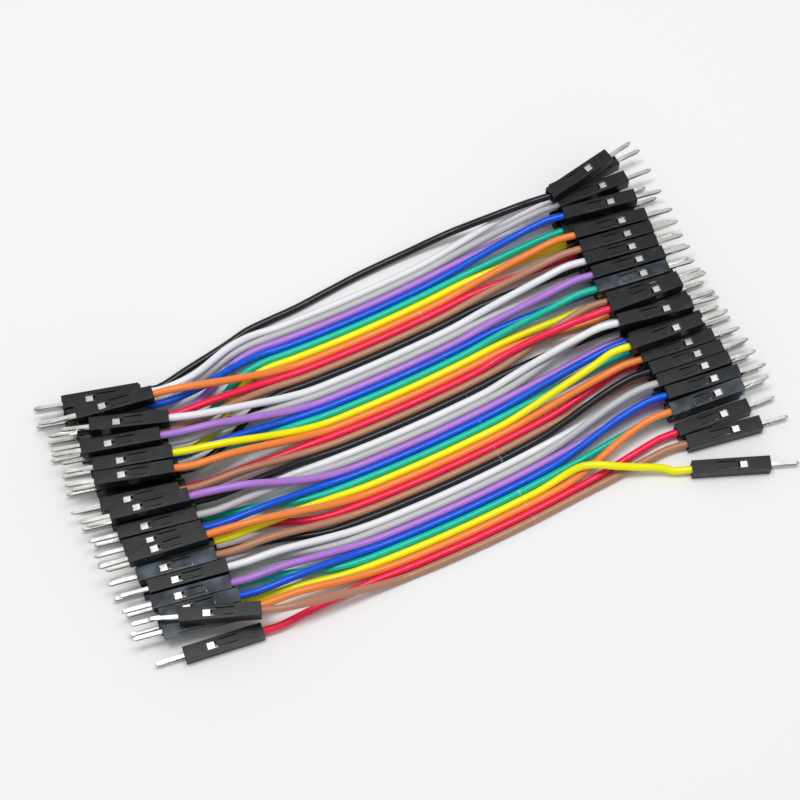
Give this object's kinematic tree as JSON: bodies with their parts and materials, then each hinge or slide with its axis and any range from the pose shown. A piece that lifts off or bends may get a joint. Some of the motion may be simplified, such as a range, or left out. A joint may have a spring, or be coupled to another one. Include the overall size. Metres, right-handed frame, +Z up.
{
  "type": "breadboard jumper wire ribbon",
  "caption": "Flat peel-apart ribbon of thin coloured breadboard jumper wires, split at both ends, each wire with a black square housing and a tinned header pin.",
  "frame": {"origin": "on the table under the middle of the ribbon's own box", "axes": "+X along the wires towards the end where one wire is peeled off, +Y across the ribbon towards the first wire, +Z up from the table"},
  "size_m": [0.1242, 0.0693, 0.0078],
  "materials": {
    "black_wire": "glossy extruded PVC",
    "white_wire": "glossy extruded PVC",
    "grey_wire": "glossy extruded PVC",
    "purple_wire": "glossy extruded PVC",
    "blue_wire": "glossy extruded PVC",
    "green_wire": "glossy extruded PVC",
    "yellow_wire": "glossy extruded PVC",
    "orange_wire": "glossy extruded PVC",
    "red_wire": "glossy extruded PVC",
    "brown_wire": "glossy extruded PVC",
    "black_housing": "satin moulded plastic",
    "tinned_terminal": "bright tin plate on phosphor bronze"
  },
  "bodies": {
    "root": {"lead_01_black": "black_wire", "lead_02_white": "white_wire", "lead_03_grey": "grey_wire", "lead_04_purple": "purple_wire", "lead_05_blue": "blue_wire", "lead_06_green": "green_wire", "lead_07_yellow": "yellow_wire", "lead_08_orange": "orange_wire", "lead_09_red": "red_wire", "lead_10_brown": "brown_wire", "lead_11_black": "black_wire", "lead_12_white": "white_wire", "lead_13_grey": "grey_wire", "lead_14_purple": "purple_wire", "lead_15_blue": "blue_wire", "lead_16_green": "green_wire", "lead_17_yellow": "yellow_wire", "lead_18_orange": "orange_wire", "lead_19_red": "red_wire", "lead_20_brown": "brown_wire", "lead_21_black": "black_wire", "lead_22_white": "white_wire", "lead_23_grey": "grey_wire", "lead_24_purple": "purple_wire", "lead_25_blue": "blue_wire", "lead_26_green": "green_wire", "lead_27_yellow": "yellow_wire", "lead_28_orange": "orange_wire", "lead_29_red": "red_wire", "lead_30_brown": "brown_wire", "lead_31_black": "black_wire", "lead_32_white": "white_wire", "lead_33_grey": "grey_wire", "lead_34_purple": "purple_wire", "lead_35_blue": "blue_wire", "wire_36_green": "green_wire", "housing_36_left": "black_housing", "terminal_36_left": "tinned_terminal", "housing_36_right": "black_housing", "terminal_36_right": "tinned_terminal", "wire_37_yellow": "yellow_wire", "housing_37_left": "black_housing", "terminal_37_left": "tinned_terminal", "housing_37_right": "black_housing", "terminal_37_right": "tinned_terminal", "wire_38_orange": "orange_wire", "housing_38_left": "black_housing", "terminal_38_left": "tinned_terminal", "housing_38_right": "black_housing", "terminal_38_right": "tinned_terminal", "wire_39_red": "red_wire", "housing_39_left": "black_housing", "terminal_39_left": "tinned_terminal", "housing_39_right": "black_housing", "terminal_39_right": "tinned_terminal", "wire_40_brown": "brown_wire", "housing_40_left": "black_housing", "terminal_40_left": "tinned_terminal", "housing_40_right": "black_housing", "terminal_40_right": "tinned_terminal"}
  },
  "joints": []
}
